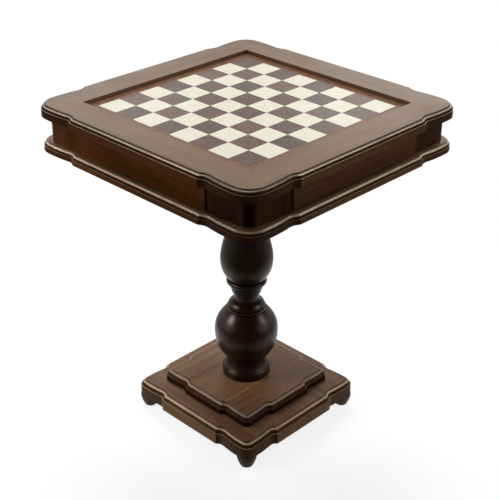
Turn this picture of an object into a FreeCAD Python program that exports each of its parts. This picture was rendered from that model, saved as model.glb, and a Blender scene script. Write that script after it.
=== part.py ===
import FreeCAD, Part
import math
import os

# Chess table: a recessed inlaid board in a shallow case with two drawers, on a turned pedestal.
# Millimetres, +Z up, origin on the floor under the middle of the table.
# Front is -Y and back is +Y, with fixed aprons. Right is +X and left is -X, with a drawer each.

# Playing board
square_side = 54.0
squares_per_side = 8
border_width = 22.7
veneer_thickness = 0.8
veneer_joint = 0.1
recess_depth = 8.0
rail_width = 77.3
panel_lip = 10.0
panel_fit = 0.4

# Outline and edge of the top and of the lower moulding
body_flank = 132.0
body_ear_radius = 330.0
body_ear_reach = 62.0
body_ear_inset = 2.5
body_tip_radius = 37.0
body_hollow_radius = 28.0
body_ledge = 2.0
body_quirk = 1.4
body_bead_radius = 5.5
body_edge_step = 3.0
body_edge_run = 1.5
moulding_bead_radius = 8.0
moulding_edge_step = 0.5
moulding_edge_run = 0.5

# Outlines and edge of the two base plates
lower_half_width = 185.2
lower_flank = 97.0
lower_ear_radius = 290.0
lower_ear_reach = 38.0
lower_ear_inset = 4.0
lower_tip_radius = 8.5
lower_hollow_radius = 16.0
base_step = 44.2
upper_flank = 84.0
upper_ear_radius = 380.0
upper_ear_reach = 30.0
upper_ear_inset = 5.5
upper_tip_radius = 0.6
upper_hollow_radius = 14.0
base_ledge = 3.0
base_quirk = 2.2
base_bead_radius = 8.2
base_edge_step = 3.3
base_edge_run = 1.5

# Heights of the stacked pieces, from the floor up
glide_thickness = 1.5
foot_height = 28.5
lower_plate_thickness = 40.0
upper_plate_thickness = 27.0
capital_plate_thickness = 28.0
floor_thickness = 12.0
moulding_thickness = 20.5
apron_height = 54.5
top_thickness = 26.0

# Feet
foot_inset = 25.2
foot_radius = 22.0
foot_sole_radius = 14.0
foot_band_height = 7.0
foot_swell = 0.8
glide_radius = 11.0
glide_pin_radius = 1.5
glide_pin_length = 8.0
foot_dowel_radius = 5.0
foot_dowel_start = 12.0
foot_dowel_grip = 26.0

# Turned column, from its foot disc up
disc_radius = 55.0
disc_rim_height = 18.5
disc_rim_round = 4.0
disc_ledge = 0.5
disc_cove_height = 17.5
disc_cove_bow = 1.9
waist_radius = 44.8
bulb_radius = 72.3
bulb_height = 134.5
bulb_head_radius = 44.7
ring_groove_depth = 3.0
ring_groove_height = 2.0
shoulder_ring_radius = 44.2
shoulder_ring_height = 4.2
shoulder_radius = 42.4
shoulder_height = 15.3
shoulder_bow = 3.2
neck_radius = 28.0
neck_height = 16.5
taper_foot_radius = 30.0
taper_head_radius = 38.5
taper_height = 25.5
taper_rings = 3
taper_ring_bow = 1.5
collar_foot_radius = 41.0
collar_height = 11.5
collar_bow = 4.4
collar_head_radius = 41.5
collar_groove_depth = 3.5
collar_groove_height = 2.0
vase_foot_radius = 42.0
vase_radius = 59.1
vase_height = 225.0
vase_neck_radius = 28.0
upper_ring_radius = 31.0
upper_ring_height = 16.0
upper_ring_bow = 6.5
capital_flare_foot_radius = 32.0
capital_ledge = 4.0
capital_flare_height = 37.0
capital_flare_bow = 6.0
capital_radius = 60.0
capital_rim_height = 14.0

# Shares of height and of swelling that the two turned curves pass through
bulb_shares = ((0.078, 0.098), (0.207, 0.547), (0.353, 0.862), (0.55, 1.0), (0.716, 0.928), (0.862, 0.591))
vase_shares = ((0.045, 0.68), (0.111, 0.895), (0.223, 1.0), (0.333, 0.903), (0.533, 0.527), (0.711, 0.257))

# Column joints and tie rod
tenon_radius = 16.0
tenon_length = 22.0
disc_tenon_radius = 26.0
disc_tenon_length = 12.0
capital_tenon_radius = 26.0
capital_tenon_length = 15.0
tenon_fit = 0.3
rod_radius = 6.0
rod_fit = 0.6
rod_end = 5.0
thread_fit = 0.1
nut_across_flats = 19.0
nut_height = 10.0
washer_radius = 15.0
washer_thickness = 2.5
nut_pocket_radius = 19.0
nut_pocket_depth = 22.0

# Case
apron_setback = 23.0
corner_round = 24.0
corner_thickness = 26.0
corner_length = 109.5
panel_proud = 4.5
panel_thickness = 22.0
floor_setback = 47.0
floor_rebate = 10.0
floor_fit = 0.4
cross_place = 45.0
cross_thickness = 12.0
batten_height = 20.0
batten_reach = 14.0
capital_plate_half_width = 130.0
capital_plate_round = 12.0

# Drawers, their guides, stops and push latches
drawer_end_gap = 1.2
drawer_foot_gap = 3.0
drawer_head_gap = 2.0
drawer_front_thickness = 18.0
drawer_side_thickness = 10.0
drawer_side_drop = 6.2
drawer_back_thickness = 10.0
drawer_bottom_thickness = 5.0
drawer_bottom_lift = 6.0
groove_depth = 4.0
groove_fit = 0.2
slide_clearance = 0.3
side_clearance = 0.8
guide_width = 12.0
guide_height = 22.0
stop_setback = 61.5
stop_length = 16.0
stop_half_width = 20.0
stop_catch = 2.8
latch_length = 14.0
latch_half_width = 16.0
latch_height = 14.0
latch_lift = 20.0
latch_pin_radius = 4.0
latch_pin_length = 4.0
latch_clearance = 0.3

# Screws
screw_radius = 2.5
screw_head_radius = 5.0
screw_head_height = 3.0
screw_fit = 0.2
case_screw_grip = 28.0
capital_screw_grip = 8.0
batten_screw_grip = 12.0
base_screw_grip = 16.0
case_screw_inset = 13.0
case_screw_spacing = 70.0
capital_screw_inset = 25.0
batten_screw_inset = 39.0
rail_screw_inset = 33.5
base_screw_inset = 53.0

# Cuts run past the faces that they open by this much
overrun = 1.0
# Straight steps in the quarter round of a bead
bead_steps = 6
quarter_turn = 90.0
full_turn = 360.0

# Levels that follow from the heights
lower_plate_foot = glide_thickness + foot_height
upper_plate_foot = lower_plate_foot + lower_plate_thickness
column_foot = upper_plate_foot + upper_plate_thickness
cove_foot = column_foot + disc_rim_height
waist = cove_foot + disc_cove_height
groove_foot = waist + bulb_height
shoulder_ring_foot = groove_foot + ring_groove_height
shoulder_ring_head = shoulder_ring_foot + shoulder_ring_height
groove_head = shoulder_ring_head + ring_groove_height
neck_foot = groove_head + shoulder_height
neck_head = neck_foot + neck_height
collar_foot = neck_head + taper_height
collar_head = collar_foot + collar_height
vase_foot = collar_head + collar_groove_height
vase_head = vase_foot + vase_height
flare_foot = vase_head + upper_ring_height
flare_head = flare_foot + capital_flare_height
capital_plate_foot = flare_head + capital_rim_height
floor_foot = capital_plate_foot + capital_plate_thickness
case_floor = floor_foot + floor_thickness
moulding_foot = case_floor - moulding_thickness
top_foot = case_floor + apron_height
top_face = top_foot + top_thickness
play_face = top_face - recess_depth
core_face = play_face - veneer_thickness

# Half-widths that follow from the sizes
squares_half_width = square_side * squares_per_side / 2
opening_half_width = squares_half_width + border_width
rebate_half_width = opening_half_width + panel_lip
panel_half_width = rebate_half_width - panel_fit
body_half_width = opening_half_width + rail_width
upper_half_width = lower_half_width - base_step
foot_place = lower_half_width - foot_inset
apron_half_width = body_half_width - apron_setback
bay_half_width = apron_half_width - corner_length
floor_half_width = apron_half_width - floor_setback
panel_face = apron_half_width + panel_proud
apron_inside = panel_face - panel_thickness
corner_inside = apron_half_width - corner_thickness
bay_end = cross_place + cross_thickness / 2
floor_opening_half_width = floor_half_width - floor_rebate
batten_inside = panel_half_width - batten_reach
drawer_front_half_width = bay_half_width - drawer_end_gap
drawer_half_width = drawer_front_half_width - guide_width - side_clearance
drawer_box_end = bay_end + latch_length + latch_pin_length + latch_clearance

# Radii of the column that follow from the sizes
disc_cove_foot_radius = disc_radius - disc_rim_round - disc_ledge
ring_groove_radius = bulb_head_radius - ring_groove_depth
shoulder_groove_radius = shoulder_radius - ring_groove_depth
collar_groove_radius = collar_head_radius - collar_groove_depth
capital_flare_radius = capital_radius - capital_ledge

# Places and lengths of the screws
case_screw_length = moulding_thickness + case_screw_grip
capital_screw_length = capital_plate_thickness + capital_screw_grip
batten_screw_length = batten_height + batten_screw_grip
base_screw_length = lower_plate_thickness + base_screw_grip
capital_screw_place = capital_plate_half_width - capital_screw_inset
batten_screw_place = bay_end + batten_screw_inset
rail_screw_place = bay_half_width - rail_screw_inset
base_screw_place = upper_half_width - base_screw_inset
case_screw_line = apron_half_width - case_screw_inset
case_screw_along = case_screw_line - case_screw_spacing
panel_screw_line = panel_half_width - batten_reach / 2
rail_screw_line = (rebate_half_width + apron_inside) / 2

UP = FreeCAD.Vector(0, 0, 1)
CENTRE = FreeCAD.Vector(0, 0, 0)
SIDES = ("front", "right", "back", "left")
CORNERS = (("front_right", 1, -1), ("back_right", 1, 1), ("back_left", -1, 1), ("front_left", -1, -1))
nodes = {}


def point(x, y, z=0.0):
    return FreeCAD.Vector(x, y, z)


def box(x0, x1, y0, y1, z0, z1):
    """Box between two opposite corners, whose values may be in either order."""
    low = point(min(x0, x1), min(y0, y1), min(z0, z1))
    return Part.makeBox(abs(x1 - x0), abs(y1 - y0), abs(z1 - z0), low)


def cylinder(radius, z0, z1, x=0.0, y=0.0):
    """Upright cylinder between two levels."""
    return Part.makeCylinder(radius, z1 - z0, point(x, y, z0))


def turned(shape, quarter_turns):
    """Copy of a shape, turned about the table's axis."""
    copy = shape.copy()
    copy.rotate(CENTRE, UP, quarter_turn * quarter_turns)
    return copy


def line(a, b):
    return Part.LineSegment(a, b).toShape()


def arc(a, middle, b):
    return Part.Arc(a, middle, b).toShape()


def one_solid(shape):
    """The single solid that a cut or a fuse leaves, without needless seams."""
    return shape.removeSplitter().Solids[0]


def cut(shape, cutters):
    return one_solid(shape.cut(cutters))


def four_places(reach):
    return [(reach * sx, reach * sy) for _, sx, sy in CORNERS]


def circles_meet(centre_a, radius_a, centre_b, radius_b):
    """The two points where two circles in the plane meet."""
    span = centre_b - centre_a
    along = (span.Length ** 2 + radius_a ** 2 - radius_b ** 2) / (2 * span.Length)
    across = math.sqrt(radius_a ** 2 - along ** 2)
    unit = span / span.Length
    foot = centre_a + unit * along
    normal = point(-unit.y, unit.x)
    return foot + normal * across, foot - normal * across


def arc_middle(centre, a, b):
    """Middle of the short arc from a to b about a centre."""
    bisector = (a - centre) + (b - centre)
    return centre + bisector.normalize() * (a - centre).Length


class Outline:
    """Square outline with straight middles, a hollow at both ends of each, and ears with round tips.

    Points are in the plane of one side, with x along the side and y outward. Insets keep the arcs' centres.
    """

    def __init__(self, half_width, flank, hollow, ear, ear_reach, ear_inset, corner):
        self.half_width = half_width
        self.hollow = hollow
        self.ear = ear
        self.corner = corner
        self.ear_centre = point(half_width - ear_reach, half_width - ear_inset - ear)
        arris = point(half_width - flank, half_width)
        meets = circles_meet(arris, hollow, self.ear_centre, ear + hollow)
        self.hollow_centre = max(meets, key=lambda p: p.x)
        lean = self.ear_centre.x - self.ear_centre.y
        rise = math.sqrt(2 * (ear - corner) ** 2 - lean ** 2)
        across = (self.ear_centre.x + self.ear_centre.y + rise) / 2
        self.corner_centre = point(across, across)

    def half_side(self, inset):
        """Pieces of half a side, from its middle to the diagonal: a line's two points or an arc's three."""
        straight = self.half_width - inset
        hollow = self.hollow + inset
        drop = self.hollow_centre.y - straight
        arris = point(self.hollow_centre.x - math.sqrt(hollow ** 2 - drop ** 2), straight)
        to_ear = (self.ear_centre - self.hollow_centre).normalize()
        hollow_end = self.hollow_centre + to_ear * hollow
        to_corner = (self.corner_centre - self.ear_centre).normalize()
        ear_end = self.ear_centre + to_corner * (self.ear - inset)
        tip = self.corner_centre + point(1, 1).normalize() * (self.corner - inset)
        return (
            (point(0, straight), arris),
            (arris, arc_middle(self.hollow_centre, arris, hollow_end), hollow_end),
            (hollow_end, arc_middle(self.ear_centre, hollow_end, ear_end), ear_end),
            (ear_end, arc_middle(self.corner_centre, ear_end, tip), tip),
        )

    def side(self, inset, level, quarter_turns):
        """Edges of one side at a level, from its left diagonal to its right one, seen from outside."""
        straight, *round_pieces = self.half_side(inset)
        run = [[point(-p.x, p.y) for p in reversed(piece)] for piece in reversed(round_pieces)]
        run.append([point(-straight[1].x, straight[1].y), straight[1]])
        run.extend(round_pieces)
        edges = []
        for piece in run:
            placed = [point(p.x, -p.y, level) for p in piece]
            edge = line(*placed) if len(placed) == 2 else arc(*placed)
            edges.append(turned(edge, quarter_turns))
        return edges

    def plate_wire(self, inset, level):
        edges = []
        for quarter_turns in range(len(SIDES)):
            edges.extend(self.side(inset, level, quarter_turns))
        return Part.Wire(edges)

    def rail_wire(self, inset, level, inner):
        """Front rail: its outer side, two mitres and a straight inner edge."""
        edges = self.side(inset, level, 0)
        left = edges[0].firstVertex(True).Point
        right = edges[-1].lastVertex(True).Point
        inner_left = point(-inner, -inner, level)
        inner_right = point(inner, -inner, level)
        edges.append(line(right, inner_right))
        edges.append(line(inner_right, inner_left))
        edges.append(line(inner_left, left))
        return Part.Wire(edges)


def moulded(wire_at, foot, head, ledge, quirk, bead, edge_step, edge_run):
    """Slab with a plain lower face, a ledge, a quirk, a quarter-round bead and a slope up to its flat top."""
    bead_level = head - edge_step - bead
    ledge_level = bead_level - quirk
    lower = Part.Face(wire_at(0, foot)).extrude(UP * (ledge_level - foot))
    wires = [wire_at(ledge, ledge_level)]
    for step in range(bead_steps + 1):
        turn = math.pi / 2 * step / bead_steps
        wires.append(wire_at(ledge + bead * (1 - math.cos(turn)), bead_level + bead * math.sin(turn)))
    wires.append(wire_at(ledge + bead + edge_run, head))
    upper = Part.makeLoft(wires, True, True)
    return one_solid(lower.fuse(upper))


def body_rail(inner, foot, head, bead, edge_step, edge_run):
    """Front rail of the top or of the lower moulding, which share one outline."""
    corner = body_ledge + body_bead_radius + body_edge_run + body_tip_radius
    outline = Outline(body_half_width, body_flank, body_hollow_radius, body_ear_radius, body_ear_reach,
                      body_ear_inset, corner)

    def wire_at(inset, level):
        return outline.rail_wire(inset, level, inner)

    return moulded(wire_at, foot, head, body_ledge, body_quirk, bead, edge_step, edge_run)


def screw(x, y, foot, length):
    """Countersunk wood screw that points up, with the flat of its head at the level foot."""
    head = Part.makeCone(screw_head_radius, screw_radius, screw_head_height, point(x, y, foot))
    return one_solid(head.fuse(cylinder(screw_radius, foot + screw_head_height, foot + length, x, y)))


def screw_hole(x, y, foot, length):
    """Room for such a screw, with its fit all round."""
    head_radius = screw_head_radius + screw_fit
    shank_radius = screw_radius + screw_fit
    head = Part.makeCone(head_radius, shank_radius, screw_head_height, point(x, y, foot))
    mouth = cylinder(head_radius, foot - overrun, foot, x, y)
    shank = cylinder(shank_radius, foot, foot + length + screw_fit, x, y)
    return head.fuse([mouth, shank])


def capital_screw_holes():
    return [screw_hole(x, y, capital_plate_foot, capital_screw_length)
            for x, y in four_places(capital_screw_place)]


def make_top_rails():
    """Four mitred rails, whose lip covers the edge of the board panel."""
    rail = body_rail(opening_half_width, top_foot, top_face, body_bead_radius, body_edge_step, body_edge_run)
    rebate = box(-rebate_half_width, rebate_half_width, -rebate_half_width, 0, top_foot - overrun, play_face)
    rail = cut(rail, [rebate])
    foot = top_foot - batten_height
    holes = [screw_hole(sx * rail_screw_place, -rail_screw_line, foot, batten_screw_length)
             for sx in (-1, 1)]
    for turns, side in enumerate(SIDES):
        fixed = cut(rail, holes) if side in ("front", "back") else rail
        nodes["top_rail_" + side] = turned(fixed, turns)


def make_board():
    """Core panel, its veneer squares and four mitred bands of border veneer."""
    half = panel_half_width
    core = box(-half, half, -half, half, top_foot, core_face)
    foot = top_foot - batten_height
    holes = []
    for sx in (-1, 1):
        for sy in (-1, 1):
            holes.append(screw_hole(sx * batten_screw_place, sy * panel_screw_line, foot,
                                    batten_screw_length))
    nodes["board_panel"] = cut(core, holes)

    tiles = {"light_squares": [], "dark_squares": []}
    gap = veneer_joint / 2
    for column in range(squares_per_side):
        for row in range(squares_per_side):
            x = column * square_side - squares_half_width
            y = row * square_side - squares_half_width
            name = "light_squares" if (column + row) % 2 == 0 else "dark_squares"
            tile = box(x + gap, x + square_side - gap, y + gap, y + square_side - gap, core_face, play_face)
            tiles[name].append(tile)
    for name, solids in tiles.items():
        nodes[name] = Part.makeCompound(solids)

    inner = squares_half_width + gap
    ring = [point(-half, -half), point(half, -half), point(inner, -inner), point(-inner, -inner)]
    face = Part.Face(Part.makePolygon([p + UP * core_face for p in ring + ring[:1]]))
    band = face.extrude(UP * veneer_thickness)
    for turns, side in enumerate(SIDES):
        nodes["border_band_" + side] = turned(band, turns)


def make_case():
    """Corner blocks, aprons, floor, cross boards and battens between the moulding and the top."""
    block = box(bay_half_width, apron_half_width, -apron_half_width, -bay_half_width, case_floor, top_foot)
    outer_edge = [edge for edge in block.Edges
                  if edge.BoundBox.XMin > apron_half_width - overrun
                  and edge.BoundBox.YMax < overrun - apron_half_width]
    block = block.makeFillet(corner_round, outer_edge)
    room = box(bay_half_width - overrun, corner_inside, -corner_inside, overrun - bay_half_width,
               case_floor - overrun, top_foot + overrun)
    holes = [screw_hole(case_screw_along, -case_screw_line, moulding_foot, case_screw_length),
             screw_hole(case_screw_line, -case_screw_along, moulding_foot, case_screw_length)]
    block = cut(block, [room] + holes)
    for turns, (corner, _, _) in enumerate(CORNERS):
        nodes["corner_block_" + corner] = turned(block, turns)

    apron = box(-bay_half_width, bay_half_width, -panel_face, -apron_inside, case_floor, top_foot)
    nodes["apron_panel_front"] = apron
    nodes["apron_panel_back"] = turned(apron, 2)

    floor_half = floor_half_width - floor_fit
    floor = box(-floor_half, floor_half, -floor_half, floor_half, floor_foot, case_floor)
    holes = capital_screw_holes()
    holes.append(cylinder(rod_radius + rod_fit, floor_foot - overrun, case_floor + overrun))
    nodes["floor_board"] = cut(floor, holes)

    cross = box(bay_end - cross_thickness, bay_end, -apron_inside, apron_inside, case_floor, top_foot)
    nodes["cross_board_right"] = cross
    nodes["cross_board_left"] = turned(cross, 2)

    foot = top_foot - batten_height
    battens = []
    for sx in (-1, 1):
        batten = box(sx * bay_end, sx * bay_half_width, -apron_inside, -batten_inside, foot, top_foot)
        holes = [screw_hole(sx * batten_screw_place, -panel_screw_line, foot, batten_screw_length),
                 screw_hole(sx * rail_screw_place, -rail_screw_line, foot, batten_screw_length)]
        battens.append(cut(batten, holes))
    nodes["panel_battens_front"] = Part.makeCompound(battens)
    nodes["panel_battens_back"] = turned(nodes["panel_battens_front"], 2)


def make_drawer_bays():
    """Guides beside the drawer boxes, stops over them and push latches behind them."""
    guide_inside = drawer_half_width + side_clearance
    guide_outside = guide_inside + guide_width
    guides = []
    stops = []
    latches = []
    latch_foot = case_floor + latch_lift
    latch_middle = latch_foot + latch_height / 2
    stop_place = panel_face - stop_setback
    for sx in (-1, 1):
        for sy in (-1, 1):
            guides.append(box(sx * bay_end, sx * corner_inside, sy * guide_inside, sy * guide_outside,
                              case_floor, case_floor + guide_height))
        stops.append(box(sx * stop_place, sx * (stop_place - stop_length), -stop_half_width, stop_half_width,
                         top_foot - drawer_side_drop - stop_catch, top_foot))
        case = box(sx * bay_end, sx * (bay_end + latch_length), -latch_half_width, latch_half_width,
                   latch_foot, latch_foot + latch_height)
        pin_foot = point(sx * (bay_end + latch_length), 0, latch_middle)
        pin = Part.makeCylinder(latch_pin_radius, latch_pin_length, pin_foot, point(sx, 0))
        latches.append(one_solid(case.fuse(pin)))
    nodes["drawer_guides"] = Part.makeCompound(guides)
    nodes["drawer_stops"] = Part.makeCompound(stops)
    nodes["push_latches"] = Part.makeCompound(latches)


def make_drawer(side, sx):
    """Front, two sides, back and bottom of the drawer that opens along sx times X."""
    inner_half = drawer_half_width - drawer_side_thickness
    front_back = panel_face - drawer_front_thickness
    groove_end = front_back + groove_depth
    side_foot = case_floor + slide_clearance
    side_head = top_foot - drawer_side_drop
    bottom_foot = side_foot + drawer_bottom_lift
    bottom_head = bottom_foot + drawer_bottom_thickness
    groove_half = inner_half + groove_depth
    groove = box(sx * (drawer_box_end - overrun), sx * groove_end, -groove_half, groove_half,
                 bottom_foot - groove_fit, bottom_head + groove_fit)
    front = box(sx * front_back, sx * panel_face, -drawer_front_half_width, drawer_front_half_width,
                case_floor + drawer_foot_gap, top_foot - drawer_head_gap)
    nodes[side + "_drawer_front"] = cut(front, [groove])
    for name, sy in (("front", -1), ("back", 1)):
        cheek = box(sx * drawer_box_end, sx * front_back, sy * inner_half, sy * drawer_half_width,
                    side_foot, side_head)
        nodes[side + "_drawer_side_" + name] = cut(cheek, [groove])
    nodes[side + "_drawer_back"] = box(sx * drawer_box_end, sx * (drawer_box_end + drawer_back_thickness),
                                       -inner_half, inner_half, bottom_head, side_head)
    bottom_half = groove_half - groove_fit
    nodes[side + "_drawer_bottom"] = box(sx * drawer_box_end, sx * (groove_end - groove_fit),
                                         -bottom_half, bottom_half, bottom_foot, bottom_head)


def make_lower_moulding():
    """Four mitred rails under the case, rebated for its floor."""
    rail = body_rail(floor_opening_half_width, moulding_foot, case_floor, moulding_bead_radius,
                     moulding_edge_step, moulding_edge_run)
    half = floor_half_width
    cutters = [box(-half, half, -half, 0, floor_foot, case_floor + overrun)]
    for sx in (-1, 1):
        cutters.append(screw_hole(sx * case_screw_along, -case_screw_line, moulding_foot,
                                  case_screw_length))
    rail = cut(rail, cutters)
    for turns, side in enumerate(SIDES):
        nodes["moulding_rail_" + side] = turned(rail, turns)


def profile(radius, level):
    return point(radius, 0, level)


def bowed(a, b, rise):
    """Arc up between two profile points, bowed outward by rise, or inward if that is negative."""
    outward = point(b.z - a.z, 0, a.x - b.x).normalize()
    return arc(a, (a + b) * 0.5 + outward * rise, b)


def swelling(foot, height, foot_radius, widest, head_radius, shares):
    """Smooth curve up between two radii, through shares of its height and of its swelling."""
    least = min(foot_radius, head_radius)
    run = [profile(foot_radius, foot)]
    for height_share, swell_share in shares:
        run.append(profile(least + (widest - least) * swell_share, foot + height * height_share))
    run.append(profile(head_radius, foot + height))
    curve = Part.BSplineCurve()
    curve.interpolate(run)
    return curve.toShape()


def lathe(edges):
    """Solid turned about the table's axis from profile edges that run upward."""
    start = edges[0].firstVertex(True).Point
    end = edges[-1].lastVertex(True).Point
    foot = profile(0, start.z)
    head = profile(0, end.z)
    wire = Part.Wire(edges + [line(end, head), line(head, foot), line(foot, start)])
    return Part.Face(wire).revolve(CENTRE, UP, full_turn).Solids[0]


def make_column():
    """Foot disc, lower column with its bulb, and upper column with its vase and capital."""
    bore = cylinder(rod_radius + rod_fit, column_foot - overrun, floor_foot + overrun)

    round_foot = cove_foot - disc_rim_round
    round_end = disc_radius - disc_rim_round
    round_middle = arc_middle(profile(round_end, round_foot), profile(disc_radius, round_foot),
                              profile(round_end, cove_foot))
    disc = lathe([
        line(profile(disc_radius, column_foot), profile(disc_radius, round_foot)),
        arc(profile(disc_radius, round_foot), round_middle, profile(round_end, cove_foot)),
        line(profile(round_end, cove_foot), profile(disc_cove_foot_radius, cove_foot)),
        bowed(profile(disc_cove_foot_radius, cove_foot), profile(waist_radius, waist), -disc_cove_bow),
    ])
    socket = cylinder(disc_tenon_radius + tenon_fit, waist - disc_tenon_length - tenon_fit, waist + overrun)
    nodes["column_foot"] = cut(disc, [socket, bore])

    lower = lathe([
        swelling(waist, bulb_height, waist_radius, bulb_radius, bulb_head_radius, bulb_shares),
        line(profile(bulb_head_radius, groove_foot), profile(ring_groove_radius, groove_foot)),
        line(profile(ring_groove_radius, groove_foot), profile(ring_groove_radius, shoulder_ring_foot)),
        line(profile(ring_groove_radius, shoulder_ring_foot),
             profile(shoulder_ring_radius, shoulder_ring_foot)),
        line(profile(shoulder_ring_radius, shoulder_ring_foot),
             profile(shoulder_ring_radius, shoulder_ring_head)),
        line(profile(shoulder_ring_radius, shoulder_ring_head),
             profile(shoulder_groove_radius, shoulder_ring_head)),
        line(profile(shoulder_groove_radius, shoulder_ring_head),
             profile(shoulder_groove_radius, groove_head)),
        line(profile(shoulder_groove_radius, groove_head), profile(shoulder_radius, groove_head)),
        bowed(profile(shoulder_radius, groove_head), profile(neck_radius, neck_foot), shoulder_bow),
    ])
    tenons = [cylinder(disc_tenon_radius, waist - disc_tenon_length, waist),
              cylinder(tenon_radius, neck_foot, neck_foot + tenon_length)]
    nodes["lower_column"] = cut(lower.fuse(tenons), [bore])

    taper_foot = profile(taper_foot_radius, neck_head)
    taper_rise = profile(taper_head_radius, collar_foot) - taper_foot
    ring_ends = [taper_foot + taper_rise * (ring / taper_rings) for ring in range(taper_rings + 1)]
    rings = [bowed(low, high, taper_ring_bow) for low, high in zip(ring_ends, ring_ends[1:])]
    upper = lathe([
        line(profile(neck_radius, neck_foot), profile(neck_radius, neck_head)),
        line(profile(neck_radius, neck_head), taper_foot),
    ] + rings + [
        line(ring_ends[-1], profile(collar_foot_radius, collar_foot)),
        bowed(profile(collar_foot_radius, collar_foot), profile(collar_head_radius, collar_head), collar_bow),
        line(profile(collar_head_radius, collar_head), profile(collar_groove_radius, collar_head)),
        line(profile(collar_groove_radius, collar_head), profile(collar_groove_radius, vase_foot)),
        line(profile(collar_groove_radius, vase_foot), profile(vase_foot_radius, vase_foot)),
        swelling(vase_foot, vase_height, vase_foot_radius, vase_radius, vase_neck_radius, vase_shares),
        line(profile(vase_neck_radius, vase_head), profile(upper_ring_radius, vase_head)),
        bowed(profile(upper_ring_radius, vase_head), profile(upper_ring_radius, flare_foot), upper_ring_bow),
        line(profile(upper_ring_radius, flare_foot), profile(capital_flare_foot_radius, flare_foot)),
        bowed(profile(capital_flare_foot_radius, flare_foot), profile(capital_flare_radius, flare_head),
              -capital_flare_bow),
        line(profile(capital_flare_radius, flare_head), profile(capital_radius, flare_head)),
        line(profile(capital_radius, flare_head), profile(capital_radius, capital_plate_foot)),
    ])
    socket = cylinder(tenon_radius + tenon_fit, neck_foot - overrun, neck_foot + tenon_length + tenon_fit)
    tenon = cylinder(capital_tenon_radius, capital_plate_foot, capital_plate_foot + capital_tenon_length)
    nodes["upper_column"] = cut(upper.fuse(tenon), [socket, bore])

    half = capital_plate_half_width
    plate = box(-half, half, -half, half, capital_plate_foot, floor_foot)
    upright = [edge for edge in plate.Edges if edge.BoundBox.ZLength > capital_plate_thickness / 2]
    plate = plate.makeFillet(capital_plate_round, upright)
    socket = cylinder(capital_tenon_radius + tenon_fit, capital_plate_foot - overrun,
                      capital_plate_foot + capital_tenon_length + tenon_fit)
    nodes["capital_plate"] = cut(plate, [socket, bore] + capital_screw_holes())


def make_tie_rod():
    """Threaded rod from a pocket under the base to the case floor, with a washer and a nut at each end."""
    pocket_roof = lower_plate_foot + nut_pocket_depth
    low_nut_head = pocket_roof - washer_thickness
    low_nut_foot = low_nut_head - nut_height
    high_nut_foot = case_floor + washer_thickness
    high_nut_head = high_nut_foot + nut_height
    nodes["tie_rod"] = cylinder(rod_radius, low_nut_foot - rod_end, high_nut_head + rod_end)
    nuts = []
    washers = []
    thread = rod_radius + thread_fit
    corner_radius = nut_across_flats / math.sqrt(3)
    for nut_foot, washer_foot in ((low_nut_foot, low_nut_head), (high_nut_foot, case_floor)):
        turns = [math.pi / 3 * i for i in range(6)]
        corners = [point(corner_radius * math.cos(t), corner_radius * math.sin(t), nut_foot) for t in turns]
        hexagon = Part.Face(Part.makePolygon(corners + corners[:1])).extrude(UP * nut_height)
        nuts.append(cut(hexagon, [cylinder(thread, nut_foot - overrun, nut_foot + nut_height + overrun)]))
        disc = cylinder(washer_radius, washer_foot, washer_foot + washer_thickness)
        hole = cylinder(rod_radius + rod_fit, washer_foot - overrun, washer_foot + washer_thickness + overrun)
        washers.append(cut(disc, [hole]))
    nodes["tie_rod_nuts"] = Part.makeCompound(nuts)
    nodes["tie_rod_washers"] = Part.makeCompound(washers)


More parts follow.
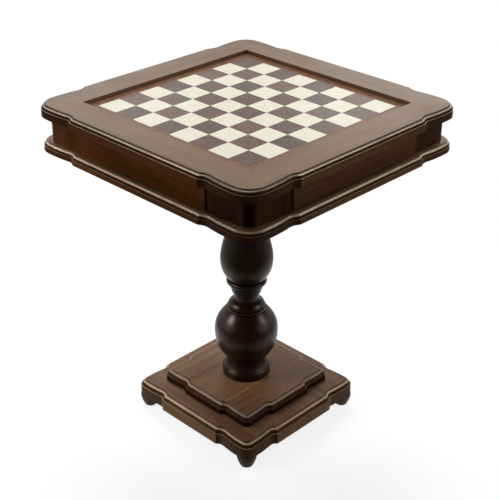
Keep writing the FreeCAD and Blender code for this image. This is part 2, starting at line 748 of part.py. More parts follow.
def make_base():
    """Two moulded base plates on four turned feet."""
    rod_hole = cylinder(rod_radius + rod_fit, lower_plate_foot - overrun, column_foot + overrun)
    screws = [screw_hole(x, y, lower_plate_foot, base_screw_length) for x, y in four_places(base_screw_place)]
    dowel_foot = glide_thickness + foot_dowel_start
    dowel_head = lower_plate_foot + foot_dowel_grip
    dowel_room = foot_dowel_radius + screw_fit
    dowel_holes = [cylinder(dowel_room, dowel_foot - screw_fit, dowel_head + screw_fit, x, y)
                   for x, y in four_places(foot_place)]

    lower_corner = base_ledge + base_bead_radius + base_edge_run + lower_tip_radius
    outline = Outline(lower_half_width, lower_flank, lower_hollow_radius, lower_ear_radius, lower_ear_reach,
                      lower_ear_inset, lower_corner)
    lower = moulded(outline.plate_wire, lower_plate_foot, upper_plate_foot, base_ledge, base_quirk,
                    base_bead_radius, base_edge_step, base_edge_run)
    pocket = cylinder(nut_pocket_radius, lower_plate_foot - overrun, lower_plate_foot + nut_pocket_depth)
    nodes["lower_base_plate"] = cut(lower, [rod_hole, pocket] + screws + dowel_holes)

    upper_corner = base_ledge + base_bead_radius + base_edge_run + upper_tip_radius
    outline = Outline(upper_half_width, upper_flank, upper_hollow_radius, upper_ear_radius, upper_ear_reach,
                      upper_ear_inset, upper_corner)
    upper = moulded(outline.plate_wire, upper_plate_foot, column_foot, base_ledge, base_quirk,
                    base_bead_radius, base_edge_step, base_edge_run)
    nodes["upper_base_plate"] = cut(upper, [rod_hole] + screws)

    band_foot = lower_plate_foot - foot_band_height
    foot = lathe([
        bowed(profile(foot_sole_radius, glide_thickness), profile(foot_radius, band_foot), foot_swell),
        line(profile(foot_radius, band_foot), profile(foot_radius, lower_plate_foot)),
    ])
    pin_head = glide_thickness + glide_pin_length
    pin_hole = cylinder(glide_pin_radius + screw_fit, glide_thickness - overrun, pin_head + screw_fit)
    dowel_hole = cylinder(dowel_room, dowel_foot - screw_fit, lower_plate_foot + overrun)
    foot = cut(foot, [pin_hole, dowel_hole])
    pin = cylinder(glide_pin_radius, glide_thickness, pin_head)
    glide = one_solid(cylinder(glide_radius, 0, glide_thickness).fuse(pin))
    dowel = cylinder(foot_dowel_radius, dowel_foot, dowel_head)
    glides = []
    dowels = []
    for corner, sx, sy in CORNERS:
        place = point(sx * foot_place, sy * foot_place)
        nodes["foot_" + corner] = foot.translated(place)
        glides.append(glide.translated(place))
        dowels.append(dowel.translated(place))
    nodes["foot_glides"] = Part.makeCompound(glides)
    nodes["foot_dowels"] = Part.makeCompound(dowels)


def make_screws():
    """Screws of the case, the capital plate, the battens and the base, all driven upward."""
    case = []
    for turns in range(len(SIDES)):
        for sx in (-1, 1):
            front = screw(sx * case_screw_along, -case_screw_line, moulding_foot, case_screw_length)
            case.append(turned(front, turns))
    nodes["case_screws"] = Part.makeCompound(case)
    capital = [screw(x, y, capital_plate_foot, capital_screw_length)
               for x, y in four_places(capital_screw_place)]
    nodes["capital_screws"] = Part.makeCompound(capital)
    foot = top_foot - batten_height
    batten = []
    for sx in (-1, 1):
        for sy in (-1, 1):
            batten.append(screw(sx * batten_screw_place, sy * panel_screw_line, foot, batten_screw_length))
            batten.append(screw(sx * rail_screw_place, sy * rail_screw_line, foot, batten_screw_length))
    nodes["batten_screws"] = Part.makeCompound(batten)
    base = [screw(x, y, lower_plate_foot, base_screw_length) for x, y in four_places(base_screw_place)]
    nodes["base_screws"] = Part.makeCompound(base)


make_top_rails()
make_board()
make_case()
make_drawer_bays()
make_drawer("right", 1)
make_drawer("left", -1)
make_lower_moulding()
make_column()
make_tie_rod()
make_base()
make_screws()

os.makedirs("parts", exist_ok=True)
for name, shape in nodes.items():
    shape.exportStep("parts/" + name + ".step")
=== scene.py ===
import math
from collections import namedtuple

import bpy
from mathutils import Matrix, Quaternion, Vector

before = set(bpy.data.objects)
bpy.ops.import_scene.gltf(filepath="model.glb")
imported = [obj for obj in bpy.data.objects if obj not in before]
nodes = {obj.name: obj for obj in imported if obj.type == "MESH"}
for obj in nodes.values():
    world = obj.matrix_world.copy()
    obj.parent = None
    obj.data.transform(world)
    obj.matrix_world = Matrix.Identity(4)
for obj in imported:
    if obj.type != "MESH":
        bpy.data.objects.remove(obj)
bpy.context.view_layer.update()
scene = bpy.context.scene
scene.view_settings.view_transform = "Standard"


def reach(name, axis):
    """Lowest and highest place of a CAD node along the axis x, y or z, in metres."""
    places = [getattr(vertex.co, axis) for vertex in nodes[name].data.vertices]
    return min(places), max(places)


# Sizes that the patterns and the painted shade follow, in metres: a square of the board, and how far from
# the middle of a side the ears of the body and of the lower base plate begin, which painted shade darkens.
# The body's begin a little outwards of the inner faces of the corner blocks
BOARD_ROWS = 8
board_left, board_right = reach("light_squares", "x")
SQUARE = (board_right - board_left) / BOARD_ROWS
BLOCK_MARGIN = 0.0005
block_inner_face, _ = reach("corner_block_front_right", "x")
BODY_EARS = block_inner_face + BLOCK_MARGIN
LOWER_EARS = 0.088


def srgb(red, green, blue):
    """Linear colour from 0 to 255 screen values."""
    def linear(value):
        value /= 255
        return value / 12.92 if value <= 0.04045 else ((value + 0.055) / 1.055) ** 2.4
    return (linear(red), linear(green), linear(blue), 1.0)


def grey(value):
    """Linear grey from 0 to 1."""
    return (value, value, value, 1.0)


def shaded(colour, share):
    """A colour whose parts are multiplied by a share, up to full brightness."""
    return tuple(min(1.0, share * part) for part in colour[:3]) + (1.0,)


WHITE = grey(1.0)

# Noise: its repeats per metre along each axis, and the settings of the noise node. In what follows, stops
# are values at which the colours of a ramp stand, ranges are values between which something fades in or
# out, and shares say how much of it shows
Pattern = namedtuple("Pattern", "repeats detail roughness distortion", defaults=(0.55, 0.0))
# The middle of a noise's values, and the range in which most of them lie
NOISE_MIDDLE = 0.5
NOISE_RANGE = (0.3, 0.7)


class Tree:
    """A tree of shader nodes that starts empty, and short ways to add nodes to it."""

    def __init__(self, tree):
        self.tree = tree
        tree.nodes.clear()

    def feed(self, socket, value):
        """Link a socket to another node's output, or set its own value."""
        if isinstance(value, bpy.types.NodeSocket):
            self.tree.links.new(value, socket)
        else:
            socket.default_value = value

    def add(self, kind, inputs=None, **settings):
        """A new node with its settings, and with what feeds its inputs, by name or number."""
        node = self.tree.nodes.new("ShaderNode" + kind)
        for name, value in settings.items():
            setattr(node, name, value)
        for key, value in (inputs or {}).items():
            self.feed(node.inputs[key], value)
        return node

    def math(self, operation, a, b=0.0, clamp=False):
        return self.add("Math", {0: a, 1: b}, operation=operation, use_clamp=clamp).outputs[0]

    def weighed(self, a, share_a, b, share_b):
        """The sum of two values, each multiplied by its share."""
        return self.math("ADD", self.math("MULTIPLY", a, share_a), self.math("MULTIPLY", b, share_b))

    def vector(self, operation, a, b=(0.0, 0.0, 0.0), output="Vector"):
        return self.add("VectorMath", {0: a, 1: b}, operation=operation).outputs[output]

    def axes(self, vector):
        """The three parts of a vector."""
        return tuple(self.add("SeparateXYZ", {0: vector}).outputs)

    def turned(self, place, turn):
        """A place turned by angles round the axes."""
        return self.add("Mapping", {"Vector": place, "Rotation": turn}, vector_type="POINT").outputs[0]

    def noise(self, place, pattern):
        """Cloudy values from 0 to 1."""
        inputs = {
            "Vector": self.vector("MULTIPLY", place, pattern.repeats),
            "Scale": 1.0,
            "Detail": pattern.detail,
            "Roughness": pattern.roughness,
            "Distortion": pattern.distortion,
        }
        return self.add("TexNoise", inputs).outputs["Fac"]

    def cells(self, place, repeats):
        """Distance from the nearest of scattered points."""
        return self.add("TexVoronoi", {"Vector": place, "Scale": repeats}, feature="F1").outputs["Distance"]

    def ramp(self, value, stops):
        """Colours between positions from 0 to 1."""
        node = self.add("ValToRGB", {"Fac": value})
        points = node.color_ramp.elements
        while len(points) < len(stops):
            points.new(0.5)
        for point, (position, colour) in zip(points, stops):
            point.position = position
            point.color = colour
        return node.outputs["Color"]

    def span(self, value, between, to):
        """Map a range of values to another one, with no values outside it."""
        inputs = {
            "Value": value,
            "From Min": between[0],
            "From Max": between[1],
            "To Min": to[0],
            "To Max": to[1],
        }
        return self.add("MapRange", inputs).outputs["Result"]

    def mix(self, share, a, b):
        """Colour a, with a share of colour b."""
        node = self.add("Mix", {"Factor": share}, data_type="RGBA", blend_type="MIX")
        colour_sockets = [socket for socket in node.inputs if socket.type == "RGBA"]
        self.feed(colour_sockets[0], a)
        self.feed(colour_sockets[1], b)
        return next(socket for socket in node.outputs if socket.type == "RGBA")


class Finish(Tree):
    """A material with a Principled shader, and short ways to feed it."""

    def __init__(self, name, roughness, specular=0.5):
        self.material = bpy.data.materials.new(name)
        self.material.use_nodes = True
        super().__init__(self.material.node_tree)
        self.roughness = roughness
        self.shader = self.add("BsdfPrincipled", {"Roughness": roughness, "Specular IOR Level": specular})
        self.add("OutputMaterial", {"Surface": self.shader.outputs["BSDF"]})
        coordinates = self.add("TexCoord").outputs
        self.place = coordinates["Object"]
        self.normal = coordinates["Normal"]

    def colour(self, value):
        self.feed(self.shader.inputs["Base Color"], value)

    def vary_roughness(self, value, between, less, more):
        """Let the roughness follow a value, from somewhat less than its own to somewhat more."""
        varied = self.span(value, between, (self.roughness - less, self.roughness + more))
        self.feed(self.shader.inputs["Roughness"], varied)

    def bump(self, height, depth, strength):
        """Fine relief, with its depth in metres."""
        node = self.add("Bump", {"Strength": strength, "Distance": depth, "Height": height})
        self.feed(self.shader.inputs["Normal"], node.outputs["Normal"])


# Wood: turns that bring the grain's direction to the pattern's X axis, and patterns along and across it
QUARTER = math.pi / 2
GRAIN_TURN = {"x": (0.0, 0.0, 0.0), "y": (0.0, 0.0, -QUARTER), "z": (0.0, QUARTER, 0.0)}
WARP = Pattern((1.1, 5.0, 5.0), 2.0)
WARP_REACH = (0.0, 0.05, 0.05)
STRIPES = Pattern((1.3, 42.0, 42.0), 4.0, 0.6)
STRIPE_SHARE = 0.55
FIBRES = Pattern((4.0, 230.0, 230.0), 4.0, 0.65)
FIBRE_SHARE = 0.45
WOOD_STOPS = (0.30, 0.50, 0.70)
PORES = Pattern((70.0, 1500.0, 1500.0), 2.0, 0.5)
PORE_RANGE = (0.60, 0.74)
PORE_SHARE = 0.35
DEEPEST = 0.35
# Patches of the painted highlight, and how much of it shows between and in them
HIGHLIGHT_PATCHES = Pattern((24.0, 24.0, 24.0), 4.0, 0.6)
HIGHLIGHT_PATCH_RANGE = (0.34, 0.52)
HIGHLIGHT_PATCH_SHARES = (0.55, 1.0)
# Painted shade: how far a face stands across two grains, the outer zones of a side with the place where
# each begins and its share of painted shade, the signs of places at the front right corner, and the width
# of a zone's rim
SKEW_RANGE = (0.12, 0.46)
Zone = namedtuple("Zone", "begin stain")
FRONT_RIGHT = (1.0, -1.0, 0.0)
ZONE_RIM = 0.004
# Lacquer dulled by handling
HANDLING = Pattern((9.0, 9.0, 9.0), 3.0)
HANDLING_RANGE = (0.45, 0.95)
HANDLING_FIBRES = 0.35
# Relief of the fibres, which stand up, and of the pores, which are pits
FIBRE_RELIEF = 0.5
PORE_RELIEF = -0.9


def painted_shade_share(g, stain, ears, corner):
    """The share of painted shade on a wood's faces, which wood() describes."""
    facing_x, facing_y, _ = g.axes(g.normal)
    skew = g.math("ABSOLUTE", g.math("MULTIPLY", facing_x, facing_y))
    share = g.span(skew, SKEW_RANGE, (0.0, stain))
    zones = []
    if ears:
        zones.append((ears, g.vector("ABSOLUTE", g.place)))
    if corner:
        zones.append((corner, g.vector("MULTIPLY", g.place, FRONT_RIGHT)))
    for zone, place in zones:
        across, along, _ = g.axes(place)
        outward = g.math("MINIMUM", across, along)
        zone_share = g.span(outward, (zone.begin, zone.begin + ZONE_RIM), (0.0, zone.stain))
        share = g.math("MAXIMUM", share, zone_share)
    return share


def wood(name, grain, tones, roughness, specular, figure=1.0, stain=0.0, ears=None, corner=None, painted_highlight=None,
         tint=WHITE):
    """Straight-grained wood under lacquer: broad stripes, fibres, fine pores, and a roughness that varies.

    The grain runs along an axis. The tones are dark, middle and light, and the figure is their contrast.
    A share of painted shade darkens faces that stand across two grains, in hollows and round corners.
    The ears are a zone of painted shade at the outer ends of each side, and the corner is one at the front
    right alone. A painted highlight's colour shows in patches, and the tint is the lacquer's."""
    g = Finish(name, roughness, specular)
    g.feed(g.shader.inputs["Specular Tint"], tint)
    place = g.turned(g.place, GRAIN_TURN[grain])
    warp = g.math("SUBTRACT", g.noise(place, WARP), NOISE_MIDDLE)
    bent = g.vector("ADD", place, g.vector("MULTIPLY", warp, WARP_REACH))
    fibres = g.noise(bent, FIBRES)
    tone = g.weighed(g.noise(bent, STRIPES), STRIPE_SHARE * figure, fibres, FIBRE_SHARE * figure)
    tone = g.math("ADD", tone, NOISE_MIDDLE * (1.0 - figure))
    base = g.ramp(tone, tuple(zip(WOOD_STOPS, tones)))
    pores = g.span(g.noise(bent, PORES), PORE_RANGE, (0.0, PORE_SHARE))
    deepest = shaded(tones[0], DEEPEST)
    base = g.mix(pores, base, deepest)
    # A painted highlight, in patches
    if painted_highlight:
        base = g.mix(g.span(g.noise(place, HIGHLIGHT_PATCHES), HIGHLIGHT_PATCH_RANGE, HIGHLIGHT_PATCH_SHARES), base, painted_highlight)
    if stain:
        base = g.mix(painted_shade_share(g, stain, ears, corner), base, deepest)
    g.colour(base)
    handling = g.math("ADD", g.noise(place, HANDLING), g.math("MULTIPLY", fibres, HANDLING_FIBRES))
    g.vary_roughness(handling, HANDLING_RANGE, less=0.06, more=0.10)
    g.bump(g.weighed(fibres, FIBRE_RELIEF, pores, PORE_RELIEF), depth=0.00012, strength=0.6)
    return g.material


# Burl: swirls, flecks and eyes, how far apart in the pattern the squares are cut, and how much they differ
# in tone
SWIRLS = Pattern((55.0, 55.0, 55.0), 5.0, 0.6, 1.6)
SWIRL_SHARE = 0.65
FLECKS = Pattern((260.0, 260.0, 260.0), 4.0, 0.6, 0.8)
FLECK_SHARE = 0.35
BURL_STOPS = (0.32, 0.52, 0.72)
SQUARE_CUTS = (3.0, 3.0, 3.0)
SQUARE_CONTRAST = 0.16
EYES_PER_METRE = 170.0
EYE_RIM = (0.10, 0.26)
EYE_SHADE = 0.55


def burl(name, tones, roughness, specular, eyes, tiled):
    """Burl veneer: mottled swirls with a share of small dark eyes, different on every square if tiled."""
    g = Finish(name, roughness, specular)
    place = g.place
    if tiled:
        square = g.vector("FLOOR", g.vector("MULTIPLY", g.place, (1 / SQUARE, 1 / SQUARE, 0.0)))
        cut = g.add("TexWhiteNoise", {"Vector": square}, noise_dimensions="3D").outputs
        place = g.vector("ADD", g.place, g.vector("MULTIPLY", cut["Color"], SQUARE_CUTS))
    flecks = g.noise(place, FLECKS)
    tone = g.weighed(g.noise(place, SWIRLS), SWIRL_SHARE, flecks, FLECK_SHARE)
    if tiled:
        lightness = g.math("SUBTRACT", cut["Value"], NOISE_MIDDLE)
        tone = g.math("ADD", tone, g.math("MULTIPLY", lightness, SQUARE_CONTRAST))
    base = g.ramp(tone, tuple(zip(BURL_STOPS, tones)))
    eye = g.span(g.cells(place, EYES_PER_METRE), EYE_RIM, (eyes, 0.0))
    g.colour(g.mix(eye, base, shaded(tones[0], EYE_SHADE)))
    g.vary_roughness(flecks, NOISE_RANGE, less=0.05, more=0.08)
    g.bump(flecks, depth=0.00004, strength=0.5)
    return g.material


TURNING_MARKS = Pattern((60.0, 60.0, 900.0), 3.0)
METAL_STOPS = (0.35, 0.65)
METAL_SHADE = 0.8


def metal(name, colour, roughness):
    """Plated steel with fine turning marks."""
    g = Finish(name, roughness)
    g.feed(g.shader.inputs["Metallic"], 1.0)
    marks = g.noise(g.place, TURNING_MARKS)
    g.colour(g.ramp(marks, tuple(zip(METAL_STOPS, (shaded(colour, METAL_SHADE), colour)))))
    g.vary_roughness(marks, NOISE_RANGE, less=0.08, more=0.12)
    g.bump(marks, depth=0.00005, strength=0.4)
    return g.material


MOULD_GRAIN = Pattern((900.0, 900.0, 900.0), 2.0)
MOULD_CLOUDS = Pattern((40.0, 40.0, 40.0), 3.0)
PLASTIC_SHADE = 0.85


def plastic(name, colour, roughness):
    """Moulded plastic with a fine texture."""
    g = Finish(name, roughness, specular=0.4)
    clouds = g.noise(g.place, MOULD_CLOUDS)
    g.colour(g.ramp(clouds, tuple(zip(NOISE_RANGE, (shaded(colour, PLASTIC_SHADE), colour)))))
    g.vary_roughness(clouds, NOISE_RANGE, less=0.05, more=0.08)
    g.bump(g.noise(g.place, MOULD_GRAIN), depth=0.00006, strength=0.5)
    return g.material


PLY_GRAIN = Pattern((3.0, 70.0, 900.0), 4.0, 0.6)
PLY_GRAIN_SHARE = 0.6
PLY_FIBRES = Pattern((14.0, 420.0, 900.0), 3.0, 0.6)
PLY_FIBRE_SHARE = 0.4
PLY_STOPS = (0.32, 0.55, 0.75)
PLY_LIGHTEST = 1.12


def plywood(name, dark, light):
    """Sealed plywood: pale faces with long grain, and thin plies across its edges."""
    g = Finish(name, roughness=0.5, specular=0.3)
    fibres = g.noise(g.place, PLY_FIBRES)
    tone = g.weighed(g.noise(g.place, PLY_GRAIN), PLY_GRAIN_SHARE, fibres, PLY_FIBRE_SHARE)
    g.colour(g.ramp(tone, tuple(zip(PLY_STOPS, (dark, light, shaded(light, PLY_LIGHTEST))))))
    g.vary_roughness(fibres, NOISE_RANGE, less=0.06, more=0.08)
    g.bump(fibres, depth=0.00008, strength=0.5)
    return g.material


# Tones of the woods, dark, middle and light. Sides and aprons differ by the axis of their grain: the
# right and left pieces, grain along y, are greyer with painted reflection, and the front and back ones
# warmer
POLISHED = (srgb(97, 69, 44), srgb(121, 91, 62), srgb(143, 112, 81))
SATIN = {
    "x": (srgb(97, 52, 24), srgb(124, 73, 38), srgb(145, 94, 53)),
    "y": (srgb(94, 60, 38), srgb(120, 83, 57), srgb(140, 104, 75)),
}
# Painted shade: the grooves of the edges and the slopes up to the flats are darker than the polished wood
GROOVE = (srgb(56, 34, 20), srgb(72, 46, 28), srgb(88, 58, 37))
SLOPE = (srgb(72, 49, 33), srgb(92, 66, 47), srgb(110, 82, 60))
APRON = {
    "x": (srgb(90, 47, 18), srgb(123, 71, 33), srgb(146, 92, 49)),
    "y": (srgb(84, 52, 33), srgb(116, 77, 52), srgb(139, 98, 70)),
}
# Corner blocks: darker with painted shade at the right, lighter and warmer with painted light at the left
BLOCK = (srgb(50, 27, 15), srgb(76, 46, 28), srgb(98, 63, 40))
LIT_BLOCK = (srgb(72, 39, 17), srgb(100, 59, 29), srgb(120, 77, 43))
BASE_POLISHED = (srgb(90, 58, 36), srgb(118, 83, 56), srgb(144, 110, 78))
# The lower plate's sides, lighter with painted light that stands for the floor's bounce
BASE_SATIN = (srgb(112, 80, 54), srgb(139, 103, 72), srgb(158, 122, 89))
# The lower plate's grooves, darker with painted shade
BASE_GROOVE = (srgb(66, 44, 25), srgb(90, 63, 37), srgb(110, 80, 50))
NEAR_BLACK = (srgb(28, 14, 6), srgb(42, 22, 11), srgb(54, 30, 16))
ESPRESSO = (srgb(19, 7, 4), srgb(30, 13, 8), srgb(44, 23, 15))
FOOT = (srgb(84, 62, 46), srgb(112, 88, 70), srgb(134, 108, 88))
BEECH = (srgb(120, 84, 54), srgb(150, 110, 74), srgb(172, 132, 92))
IVORY = (srgb(238, 233, 211), srgb(242, 238, 216), srgb(246, 242, 222))
BRIAR = (srgb(70, 44, 34), srgb(97, 68, 54), srgb(124, 92, 74))
TAN = (srgb(92, 60, 38), srgb(124, 86, 56), srgb(150, 108, 72))
# Colours of the painted highlights on the beads and ledges
BEAD_HIGHLIGHT = srgb(206, 184, 154)
LEDGE_HIGHLIGHT = srgb(186, 160, 130)
MOULDING_BEAD_HIGHLIGHT = srgb(250, 216, 172)
LOWER_BEAD_HIGHLIGHT = srgb(204, 176, 140)
LOWER_LEDGE_HIGHLIGHT = srgb(160, 130, 94)
UPPER_BEAD_HIGHLIGHT = srgb(150, 126, 102)
# Tints of the lacquer
TOP_LACQUER = (1.0, 0.96, 0.89, 1.0)
COLUMN_LACQUER = (1.0, 0.82, 0.70, 1.0)

# Woods of a moulded piece: polished faces that look up, its sides, the grooves of the edge and the bead's
# steep faces darker with painted shade, the slope up to the flat, also darker with painted shade, and a
# painted highlight on the bead and on the ledge under it
Woods = namedtuple("Woods", "polished side groove slope bead ledge")


# Each wood's share of painted shade darkens faces in hollows and round corners, and in the zones it is given
def top_woods(axis):
    """Woods of a top rail whose grain runs along an axis."""
    return Woods(
        polished=wood("walnut_polished_" + axis, axis, POLISHED, roughness=0.30, specular=0.5, figure=0.9,
                      stain=0.5, tint=TOP_LACQUER),
        side=wood("walnut_satin_" + axis, axis, SATIN[axis], roughness=0.45, specular=0.05, stain=0.92,
                  ears=Zone(BODY_EARS, stain=0.72)),
        groove=wood("walnut_groove_" + axis, axis, GROOVE, roughness=0.5, specular=0.05, stain=0.5),
        slope=wood("walnut_slope_" + axis, axis, SLOPE, roughness=0.35, specular=0.3, stain=0.7),
        bead=wood("walnut_bead_" + axis, axis, POLISHED, roughness=0.28, specular=0.3, stain=0.7,
                  corner=Zone(BODY_EARS, stain=0.75), painted_highlight=BEAD_HIGHLIGHT),
        ledge=wood("walnut_ledge_" + axis, axis, POLISHED, roughness=0.35, specular=0.3, stain=0.6,
                   corner=Zone(BODY_EARS, stain=0.55), painted_highlight=LEDGE_HIGHLIGHT),
    )


def moulding_bead(axis):
    """Wood of the lower moulding's bead, whose painted highlight is brighter than the top's."""
    return wood("moulding_bead_" + axis, axis, POLISHED, roughness=0.31, specular=0.65, stain=0.8,
                corner=Zone(BODY_EARS, stain=0.45), painted_highlight=MOULDING_BEAD_HIGHLIGHT)


def lower_plate_woods():
    """Woods of the lower base plate, whose sides are lighter than the body's, with painted light for the
    floor's bounce.
    """
    return Woods(
        polished=wood("lower_plate_polished", "x", BASE_POLISHED, roughness=0.32, specular=0.4, stain=0.4),
        side=wood("lower_plate_satin", "x", BASE_SATIN, roughness=0.45, specular=0.06, stain=0.85,
                  ears=Zone(LOWER_EARS, stain=0.78)),
        groove=wood("lower_plate_groove", "x", BASE_GROOVE, roughness=0.5, specular=0.05, stain=0.8,
                    ears=Zone(LOWER_EARS, stain=0.5)),
        slope=wood("lower_plate_slope", "x", SLOPE, roughness=0.35, specular=0.3, stain=0.6),
        bead=wood("lower_plate_bead", "x", BASE_POLISHED, roughness=0.30, specular=0.3, stain=0.7,
                  painted_highlight=LOWER_BEAD_HIGHLIGHT),
        ledge=wood("lower_plate_ledge", "x", BASE_POLISHED, roughness=0.35, specular=0.2, stain=0.6,
                   painted_highlight=LOWER_LEDGE_HIGHLIGHT),
    )


def upper_plate_woods(groove):
    """Woods of the upper base plate, whose sides are near black. Its groove is given."""
    return Woods(
        polished=wood("upper_plate_polished", "y", BASE_POLISHED, roughness=0.32, specular=0.4, stain=0.4),
        side=wood("upper_plate_stained", "y", NEAR_BLACK, roughness=0.5, specular=0.04, stain=0.5),
        groove=groove,
        slope=wood("upper_plate_slope", "y", SLOPE, roughness=0.35, specular=0.3, stain=0.6),
        bead=wood("upper_plate_bead", "y", BASE_POLISHED, roughness=0.32, specular=0.3, stain=0.7,
                  painted_highlight=UPPER_BEAD_HIGHLIGHT),
        ledge=wood("upper_plate_ledge", "y", SLOPE, roughness=0.35, specular=0.2, stain=0.6),
    )


top = {}
moulding = {}
apron = {}
inner = {}
for axis in "xy":
    top[axis] = top_woods(axis)
    moulding[axis] = top[axis]._replace(bead=moulding_bead(axis))
    apron[axis] = wood("apron_walnut_" + axis, axis, APRON[axis], roughness=0.40, specular=0.02)
    inner[axis] = wood("inner_beech_" + axis, axis, BEECH, roughness=0.5, specular=0.3)
lower_plate = lower_plate_woods()
upper_plate = upper_plate_woods(top["y"].groove)
# Corner block woods: painted shade at the right, painted light at the left
block = wood("block_walnut", "z", BLOCK, roughness=0.42, specular=0.03, stain=0.97)
lit_block = wood("block_walnut_warm", "z", LIT_BLOCK, roughness=0.42, specular=0.03, stain=0.6)
espresso = wood("espresso_turned", "z", ESPRESSO, roughness=0.28, specular=0.30, tint=COLUMN_LACQUER)
foot_wood = wood("foot_walnut", "z", FOOT, roughness=0.40, specular=0.1)
ivory = burl("ivory_veneer", IVORY, roughness=0.26, specular=0.5, eyes=0.02, tiled=True)
briar = burl("dark_briar_veneer", BRIAR, roughness=0.26, specular=0.5, eyes=0.35, tiled=True)
tan = burl("tan_briar_veneer", TAN, roughness=0.30, specular=0.35, eyes=0.5, tiled=False)
ply = plywood("plywood", dark=srgb(150, 114, 78), light=srgb(186, 150, 108))
steel = metal("zinc_plated_steel", (0.55, 0.55, 0.56, 1.0), roughness=0.32)
latch_plastic = plastic("latch_plastic", srgb(40, 40, 42), roughness=0.5)
glide_plastic = plastic("glide_plastic", srgb(120, 108, 92), roughness=0.55)

# Moulded edges, in metres: how far the ledge and the foot of the slope lie under the piece's top, and the
# half width inside which all faces are polished. Then how far the normals of the bead's faces with the
# painted highlight rise, from the steepest face to the flattest
Edge = namedtuple("Edge", "ledge slope inside steepest flattest")
TOP_EDGE = Edge(ledge=0.0099, slope=0.0029, inside=0.25, steepest=0.70, flattest=0.95)
MOULDING_EDGE = Edge(ledge=0.0099, slope=0.0004, inside=0.25, steepest=0.55, flattest=0.85)
PLATE_EDGE = Edge(ledge=0.0137, slope=0.0032, inside=0.03, steepest=0.70, flattest=0.95)
# How near to the ledge's level a face of the ledge lies
LEDGE_BAND = 0.0004


def dress(name, *materials):
    """Give a CAD node its materials, with the first one on all faces."""
    mesh = nodes[name].data
    mesh.materials.clear()
    for material in materials:
        mesh.materials.append(material)
    for face in mesh.polygons:
        face.material_index = 0


def edge_zone(face, edge, piece_top):
    """Which of the woods a face of a moulded piece shows."""
    rise = face.normal.z
    level = face.center.z
    ledge_level = piece_top - edge.ledge
    if max(abs(face.center.x), abs(face.center.y)) <= edge.inside:
        return "polished"
    if rise > edge.flattest:
        return "ledge" if abs(level - ledge_level) < LEDGE_BAND else "polished"
    if level > piece_top - edge.slope:
        return "slope"
    if rise > edge.steepest:
        return "bead"
    return "groove" if level > ledge_level else "side"


def dress_moulded(name, woods, edge):
    """Give a moulded piece its woods, each on its own faces."""
    dress(name, *woods)
    _, piece_top = reach(name, "z")
    for face in nodes[name].data.polygons:
        face.material_index = Woods._fields.index(edge_zone(face, edge, piece_top))


for side, grain in (("front", "x"), ("back", "x"), ("right", "y"), ("left", "y")):
    dress_moulded("top_rail_" + side, top[grain], TOP_EDGE)
    dress_moulded("moulding_rail_" + side, moulding[grain], MOULDING_EDGE)
    dress("border_band_" + side, tan)
dress_moulded("upper_base_plate", upper_plate, PLATE_EDGE)
dress_moulded("lower_base_plate", lower_plate, PLATE_EDGE)
for side in ("front", "back"):
    dress("apron_panel_" + side, apron["x"])
    dress("panel_battens_" + side, inner["x"])
for side in ("right", "left"):
    dress(side + "_drawer_front", apron["y"])
    for end in ("front", "back"):
        dress(side + "_drawer_side_" + end, inner["x"])
    dress(side + "_drawer_back", inner["y"])
    dress(side + "_drawer_bottom", ply)
    dress("cross_board_" + side, inner["y"])
# Painted shade on the blocks at the right; painted light makes those at the left lighter and warmer
for end in ("front", "back"):
    for side, block_wood in (("right", block), ("left", lit_block)):
        dress("corner_block_" + end + "_" + side, block_wood)
        dress("foot_" + end + "_" + side, foot_wood)
OTHER_PIECES = (
    (espresso, ("upper_column", "lower_column", "column_foot", "capital_plate")),
    (ivory, ("light_squares",)),
    (briar, ("dark_squares",)),
    (ply, ("board_panel", "floor_board")),
    (inner["x"], ("drawer_guides", "foot_dowels")),
    (inner["y"], ("drawer_stops",)),
    (glide_plastic, ("foot_glides",)),
    (latch_plastic, ("push_latches",)),
    (steel, ("tie_rod", "tie_rod_nuts", "tie_rod_washers")),
    (steel, ("case_screws", "capital_screws", "batten_screws", "base_screws")),
)
for material, names in OTHER_PIECES:
    for name in names:
        dress(name, material)

# The line of sight and its reach in metres, the lens and its sensor in millimetres, and the level direction
# towards the camera
CAMERA_PLACE = Vector((1.48924, -1.51927, 1.57206))
CAMERA_AIM = Vector((0.01882, -0.00918, 0.42424))
CAMERA_ROLL = math.radians(0.397)
CAMERA_LENS = 79.168
SENSOR = 36.0
VIEW_DISTANCE = 100.0
FRONT = Vector((CAMERA_PLACE.x, CAMERA_PLACE.y, 0.0)).normalized()

# Floor: its half width in metres, the grey that scatters light, and the grey and the glow that add up to
# white with the object's shadow where the floor is seen or mirrored
FLOOR_REACH = 40.0
FLOOR_SCATTER = grey(0.2)
FLOOR_SHADOWED = grey(0.30)
FLOOR_GLOW = 0.83
# The white sweep that lacquer mirrors: where its brightness falls off towards the front, on the floor and on
# the backdrop, and what is left of it, and the same for the distance from the object on the floor
FLOOR_AHEAD = (0.05, 0.60)
FLOOR_AHEAD_LEFT = 0.0
FLOOR_AWAY = (0.50, 1.00)
FLOOR_AWAY_LEFT = 0.35
BACKDROP_AHEAD = (0.05, 0.50)
BACKDROP_AHEAD_LEFT = 0.1
# Heights between which the mirrored backdrop gets dimmer, and its strength below and above them
BACKDROP_HEIGHTS = (0.34, 0.52)
BACKDROP_STRENGTHS = (0.8, 0.16)
# The weak light from all sides
AMBIENT = (1.0, 0.98, 0.95, 1.0)
AMBIENT_STRENGTH = 0.05


def ahead(tree, place, between, left):
    """The sweep's brightness: 1 behind and beside the object, and what is left of it towards the front."""
    forward = tree.vector("DOT_PRODUCT", place, FRONT, output="Value")
    return tree.span(forward, between, (1.0, left))


def seen(tree, sweep):
    """1 for camera rays, the sweep's brightness for mirror and glass rays, and 0 for scattered light."""
    path = tree.add("LightPath").outputs
    mirrored = tree.math("ADD", path["Is Glossy Ray"], path["Is Transmission Ray"], clamp=True)
    return tree.math("MAXIMUM", path["Is Camera Ray"], tree.math("MULTIPLY", mirrored, sweep))


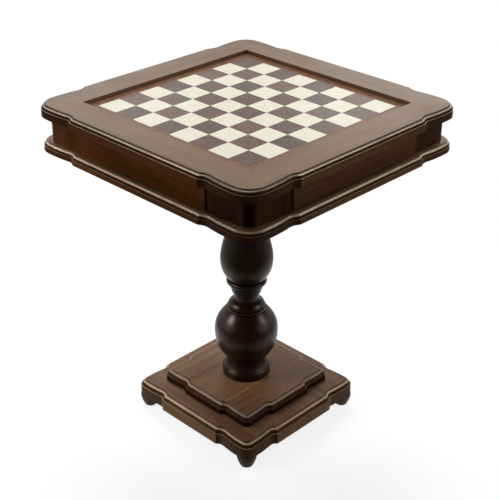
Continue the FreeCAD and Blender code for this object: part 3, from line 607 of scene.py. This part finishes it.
def floor_material():
    """Grey for scattered light, and white with shadows for rays that show it."""
    material = bpy.data.materials.new("floor")
    material.use_nodes = True
    tree = Tree(material.node_tree)
    place = tree.add("TexCoord").outputs["Object"]
    away = tree.span(tree.vector("LENGTH", place, output="Value"), FLOOR_AWAY, (1.0, FLOOR_AWAY_LEFT))
    sweep = tree.math("MULTIPLY", ahead(tree, place, FLOOR_AHEAD, FLOOR_AHEAD_LEFT), away)
    scatter = tree.add("BsdfDiffuse", {"Color": FLOOR_SCATTER}).outputs[0]
    shadowed = tree.add("BsdfDiffuse", {"Color": FLOOR_SHADOWED}).outputs[0]
    glow = tree.add("Emission", {"Strength": FLOOR_GLOW}).outputs[0]
    shown = tree.add("AddShader", {0: shadowed, 1: glow}).outputs[0]
    both = tree.add("MixShader", {"Fac": seen(tree, sweep), 1: scatter, 2: shown}).outputs[0]
    tree.add("OutputMaterial", {"Surface": both})
    return material


def studio_world():
    """A weak ambient light, and a white backdrop that is dimmer high up where lacquer mirrors it."""
    world = bpy.data.worlds.new("studio")
    world.use_nodes = True
    tree = Tree(world.node_tree)
    outlook = tree.add("TexCoord").outputs["Generated"]
    _, _, height = tree.axes(outlook)
    camera_ray = tree.add("LightPath").outputs["Is Camera Ray"]
    strength = tree.math("MAXIMUM", camera_ray, tree.span(height, BACKDROP_HEIGHTS, BACKDROP_STRENGTHS))
    ambient = tree.add("Background", {"Color": AMBIENT, "Strength": AMBIENT_STRENGTH}).outputs[0]
    backdrop = tree.add("Background", {"Color": WHITE, "Strength": strength}).outputs[0]
    sweep = ahead(tree, outlook, BACKDROP_AHEAD, BACKDROP_AHEAD_LEFT)
    both = tree.add("MixShader", {"Fac": seen(tree, sweep), 1: ambient, 2: backdrop}).outputs[0]
    tree.add("OutputWorld", {"Surface": both})
    return world


floor_mesh = bpy.data.meshes.new("floor")
floor_corners = [(-FLOOR_REACH, -FLOOR_REACH, 0), (FLOOR_REACH, -FLOOR_REACH, 0),
                 (FLOOR_REACH, FLOOR_REACH, 0), (-FLOOR_REACH, FLOOR_REACH, 0)]
floor_mesh.from_pydata(floor_corners, [], [(0, 1, 2, 3)])
floor_mesh.materials.append(floor_material())
floor = bpy.data.objects.new("floor", floor_mesh)
scene.collection.objects.link(floor)
scene.world = studio_world()

# Where the lamps point: the middle of the floor, both sides of the column's lower end, and above the top.
# The far lamps' distance doesn't change their light
FLOOR_MIDDLE = Vector((0.0, 0.0, 0.0))
BASE_LEFT = Vector((-0.10, -0.06, 0.2))
BASE_RIGHT = Vector((0.06, 0.10, 0.2))
ABOVE_TOP = Vector((0.0, 0.0, 0.86))
FAR_AWAY = 4.0


def direction(azimuth, elevation):
    """Towards an azimuth from the camera's side and an elevation, in degrees."""
    turn = math.atan2(CAMERA_PLACE.y, CAMERA_PLACE.x) + math.radians(azimuth)
    rise = math.radians(elevation)
    return Vector((math.cos(turn) * math.cos(rise), math.sin(turn) * math.cos(rise), math.sin(rise)))


def add_lamp(data, azimuth, elevation, target, distance):
    """Put a lamp at a distance from its target, where the camera doesn't see it."""
    lamp_object = bpy.data.objects.new(data.name, data)
    lamp_object.visible_camera = False
    scene.collection.objects.link(lamp_object)
    towards = direction(azimuth, elevation)
    lamp_object.location = target + towards * distance
    lamp_object.rotation_mode = "QUATERNION"
    lamp_object.rotation_quaternion = towards.to_track_quat("Z", "Y")


def lamp(name, azimuth, elevation, width, strength):
    """A soft lamp far away, as wide as an angle in degrees."""
    data = bpy.data.lights.new(name, "SUN")
    data.energy = strength * math.pi
    data.angle = math.radians(width)
    add_lamp(data, azimuth, elevation, FLOOR_MIDDLE, FAR_AWAY)


def spot(name, azimuth, elevation, target, distance, radius, cone, strength, blend):
    """A soft spot near the object, with a cone's angle in degrees and a soft share of its rim.

    The energy grows with the distance, so that the light at the target stays the same."""
    data = bpy.data.lights.new(name, "SPOT")
    data.energy = strength * math.pi * 4 * math.pi * distance ** 2
    data.shadow_soft_size = radius
    data.spot_size = math.radians(cone)
    data.spot_blend = blend
    add_lamp(data, azimuth, elevation, target, distance)


lamp("overhead_softbox", azimuth=-172, elevation=64, width=30, strength=0.55)
for name, azimuth, strength in (("left_softbox", -109, 0.23), ("right_softbox", 109, 0.22)):
    spot(name, azimuth, elevation=46.5, target=ABOVE_TOP, distance=3.0, radius=0.26, cone=21,
         strength=strength, blend=0.35)
lamp("left_fill", azimuth=-70, elevation=20, width=40, strength=0.115)
lamp("right_fill", azimuth=70, elevation=20, width=40, strength=0.125)
lamp("low_left_softbox", azimuth=-165, elevation=17, width=24, strength=0.03)
lamp("low_right_softbox", azimuth=165, elevation=17, width=24, strength=0.045)
spot("left_spot", azimuth=-74, elevation=38, target=BASE_LEFT, distance=0.95, radius=0.19, cone=39,
     strength=0.62, blend=0.8)
spot("right_spot", azimuth=81, elevation=37, target=BASE_RIGHT, distance=0.95, radius=0.21, cone=37,
     strength=0.24, blend=0.8)

camera_data = bpy.data.cameras.new("camera")
camera = bpy.data.objects.new("camera", camera_data)
scene.collection.objects.link(camera)
camera_data.sensor_width = SENSOR
camera_data.lens = CAMERA_LENS
camera_data.clip_end = VIEW_DISTANCE
sight = (CAMERA_AIM - CAMERA_PLACE).to_track_quat("-Z", "Y")
camera.location = CAMERA_PLACE
camera.rotation_mode = "QUATERNION"
camera.rotation_quaternion = sight @ Quaternion((0.0, 0.0, 1.0), CAMERA_ROLL)
scene.camera = camera
